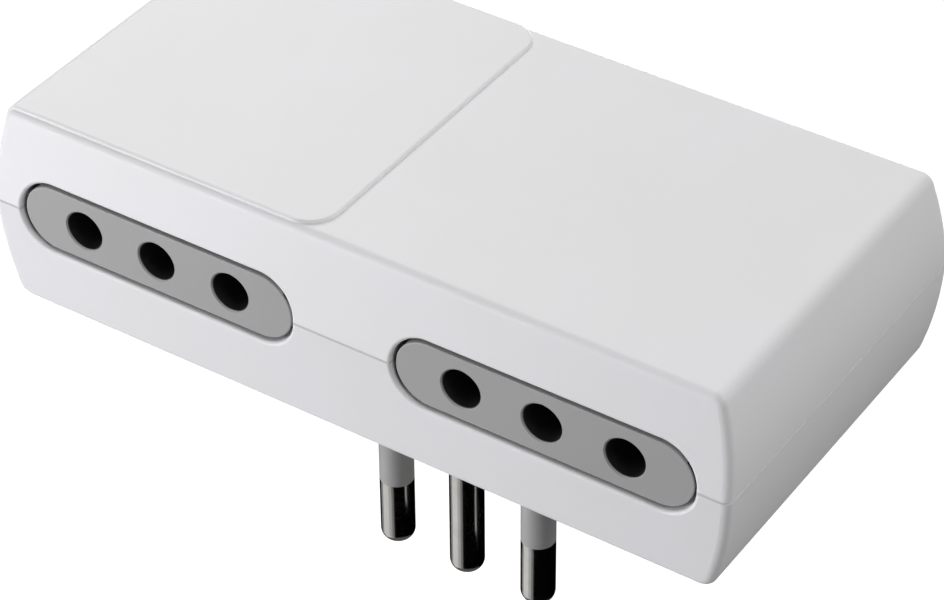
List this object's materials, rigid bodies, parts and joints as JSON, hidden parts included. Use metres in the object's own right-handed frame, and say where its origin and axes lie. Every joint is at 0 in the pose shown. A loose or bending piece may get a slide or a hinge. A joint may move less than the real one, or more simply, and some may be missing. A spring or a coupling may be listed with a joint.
{
  "type": "multi socket adapter",
  "caption": "White moulded mains adapter: a round-pin plug on a boss below, and recessed grey in-line outlets in both long sides.",
  "frame": {"origin": "centre of the plug's seating face, on the earth pin's axis", "axes": "+X along the row of pins and the length, -Y towards the pictured front, +Z away from the wall"},
  "size_m": [0.0902, 0.0452, 0.0598],
  "materials": {
    "housing_plastic": "fine satin",
    "outlet_plastic": "satin",
    "sleeve_plastic": "satin",
    "pin_plating": "bright nickel plate",
    "contact_brass": "stamped strip",
    "screw_steel": "zinc plate"
  },
  "bodies": {
    "root": {"upper_shell": "housing_plastic", "lower_shell": "housing_plastic", "socket_face_front_left": "outlet_plastic", "socket_face_front_right": "outlet_plastic", "socket_face_rear_left": "outlet_plastic", "socket_face_rear_right": "outlet_plastic", "line_pin_sleeve": "sleeve_plastic", "neutral_pin_sleeve": "sleeve_plastic", "line_pin": "pin_plating", "earth_pin": "pin_plating", "neutral_pin": "pin_plating", "line_bus_bar": "contact_brass", "earth_bus_bar": "contact_brass", "neutral_bus_bar": "contact_brass", "line_contact_left": "contact_brass", "earth_contact_left": "contact_brass", "neutral_contact_left": "contact_brass", "line_contact_right": "contact_brass", "earth_contact_right": "contact_brass", "neutral_contact_right": "contact_brass", "housing_screws": "screw_steel"}
  },
  "joints": []
}
